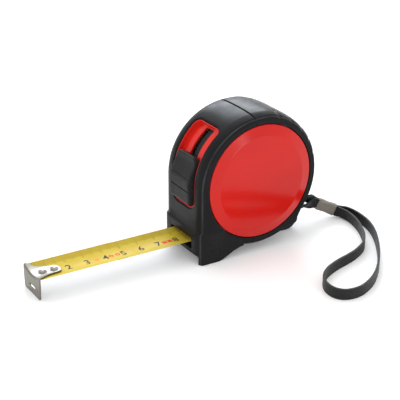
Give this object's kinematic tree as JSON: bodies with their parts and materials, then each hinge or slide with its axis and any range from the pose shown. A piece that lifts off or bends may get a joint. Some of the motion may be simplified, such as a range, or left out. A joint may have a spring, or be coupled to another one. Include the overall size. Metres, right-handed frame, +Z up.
{
  "type": "tape measure",
  "caption": "Pocket tape measure with a round red and black case, thumb lock, belt clip, wrist strap and a short length of blade pulled out and locked.",
  "frame": {"origin": "centre of the rear foot's flat sole, on the surface the tape measure stands on", "axes": "+Z up, -X the way the blade leaves the case, +Y towards the belt clip's face"},
  "size_m": [0.1856, 0.1103, 0.0748],
  "materials": {
    "black_abs": "satin to gloss",
    "red_abs": "gloss",
    "nickel_steel": "nickel plated",
    "yellow_blade": "lacquered, printed scale",
    "black_webbing": "woven nylon",
    "white_nylon": "natural nylon",
    "spring_steel": "blued"
  },
  "bodies": {
    "case": {"front_case": "black_abs", "rear_case": "black_abs", "strap_pin": "nickel_steel", "near_shell": "red_abs", "far_shell": "red_abs", "case_screw_1": "nickel_steel", "case_screw_2": "nickel_steel", "case_screw_3": "nickel_steel", "near_disc": "red_abs", "far_disc": "red_abs", "lock_track": "red_abs", "spindle": "nickel_steel", "near_washer": "white_nylon", "far_washer": "white_nylon", "belt_clip": "nickel_steel", "clip_screw": "nickel_steel", "ferrule": "nickel_steel", "wrist_loop": "black_webbing", "strap_anchor": "black_webbing"},
    "reel": {"reel_drum": "white_nylon", "reel_cover": "white_nylon", "blade_coil": "yellow_blade", "power_spring": "spring_steel"},
    "blade": {"blade_front": "yellow_blade", "hook_rivet_1": "nickel_steel", "hook_rivet_2": "nickel_steel"},
    "blade_root": {"blade_rear": "yellow_blade"},
    "hook": {"end_hook": "nickel_steel"},
    "lock": {"lock_button": "black_abs", "lock_arm": "black_abs"},
    "brake": {"brake_shoe": "black_abs"}
  },
  "joints": [
    {"name": "reel_spin", "type": "hinge", "parent": "case", "child": "reel", "pos_m": [-0.026, 0, 0.039], "axis": [0, 1, 0], "range_deg": [-173.8, 12.8]},
    {"name": "blade_slide", "type": "slide", "parent": "case", "child": "blade", "axis": [-1, 0, 0], "range_m": [-0.0817, 0.0061]},
    {"name": "blade_root_slide", "type": "slide", "parent": "case", "child": "blade_root", "axis": [-1, 0, 0], "range_m": [-0.0421, 0.0032]},
    {"name": "hook_play", "type": "slide", "parent": "blade", "child": "hook", "axis": [-1, 0, 0], "range_m": [0, 0.0008]},
    {"name": "lock_slide", "type": "hinge", "parent": "case", "child": "lock", "pos_m": [-0.026, 0, 0.039], "axis": [0, 1, 0], "range_deg": [0, 18]},
    {"name": "brake_lift", "type": "slide", "parent": "case", "child": "brake", "axis": [0, 0, 1], "range_m": [0, 0.0012]}
  ],
  "couplings": [
    {"joint": "blade_slide", "follows": "reel_spin", "m_per_rad": 0.0269},
    {"joint": "blade_root_slide", "follows": "reel_spin", "m_per_rad": 0.01384},
    {"joint": "brake_lift", "follows": "lock_slide", "m_per_rad": 0.0038}
  ]
}
